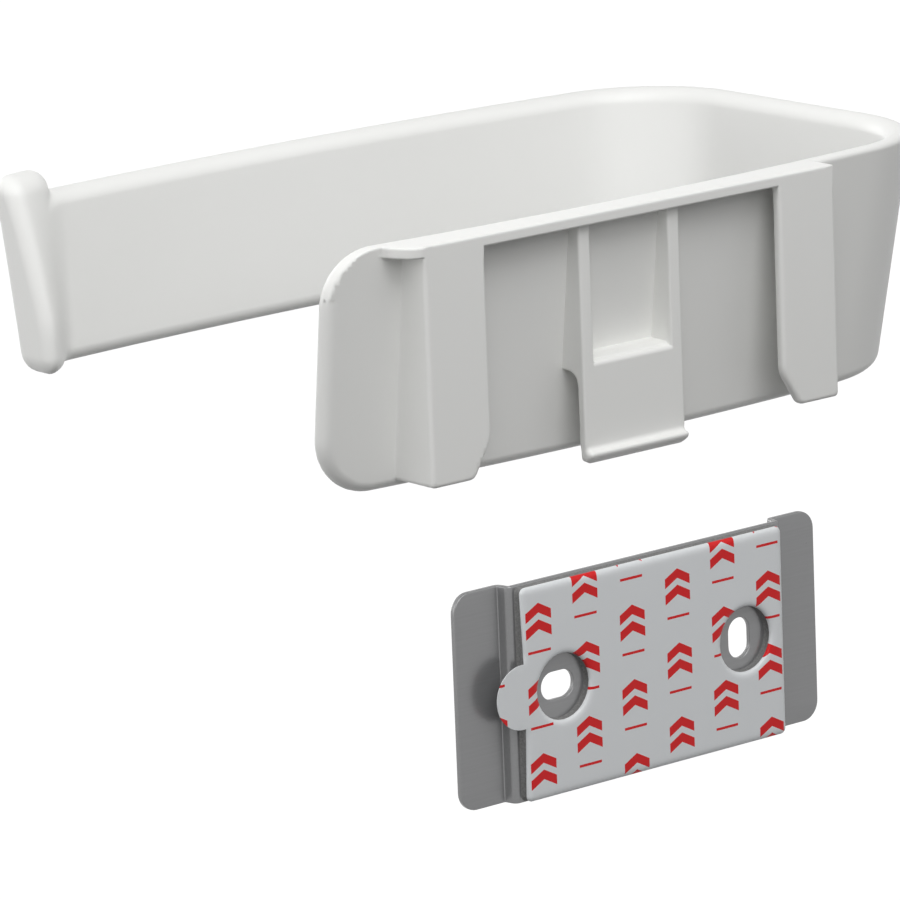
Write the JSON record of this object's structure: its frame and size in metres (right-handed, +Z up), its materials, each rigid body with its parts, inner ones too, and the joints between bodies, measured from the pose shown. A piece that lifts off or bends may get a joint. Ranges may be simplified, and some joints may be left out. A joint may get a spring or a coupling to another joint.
{
  "type": "toilet roll holder",
  "caption": "Wall-mounted toilet roll holder: a J-shaped arm with a raised lip on a back panel, whose rails slide onto a steel wall plate with foam tape and a release liner.",
  "frame": {"origin": "centre of the release liner's wall-side face, the face of the wall plate that goes to the wall", "axes": "+Y towards the wall and -Y into the room, +Z up, +X towards the free end of the arm, where the roll goes on"},
  "size_m": [0.1442, 0.0919, 0.0969],
  "materials": {
    "white_plastic": "satin moulded",
    "plate_steel": "fine brushed, pressed",
    "tape_foam": "dull closed-cell foam",
    "liner_film": "smooth film with a red print"
  },
  "bodies": {
    "holder": {"holder_body": "white_plastic"},
    "latch": {"latch_finger": "white_plastic"},
    "plate": {"wall_plate": "plate_steel", "foam_tape": "tape_foam"},
    "liner": {"release_liner": "liner_film"}
  },
  "joints": [
    {"name": "plate_slide", "type": "slide", "parent": "holder", "child": "plate", "axis": [0, 0, 1], "range_m": [0, 0.0551], "deforming": ["latch_finger"]},
    {"name": "latch_flex", "type": "hinge", "parent": "holder", "child": "latch", "pos_m": [0, -0.0041, 0.04695], "axis": [-1, 0, 0], "range_deg": [0, 9], "stiffness_Nm_per_rad": 0.4},
    {"name": "liner_peel", "type": "slide", "parent": "plate", "child": "liner", "axis": [0, 1, 0], "range_m": [0, 0.03]}
  ]
}
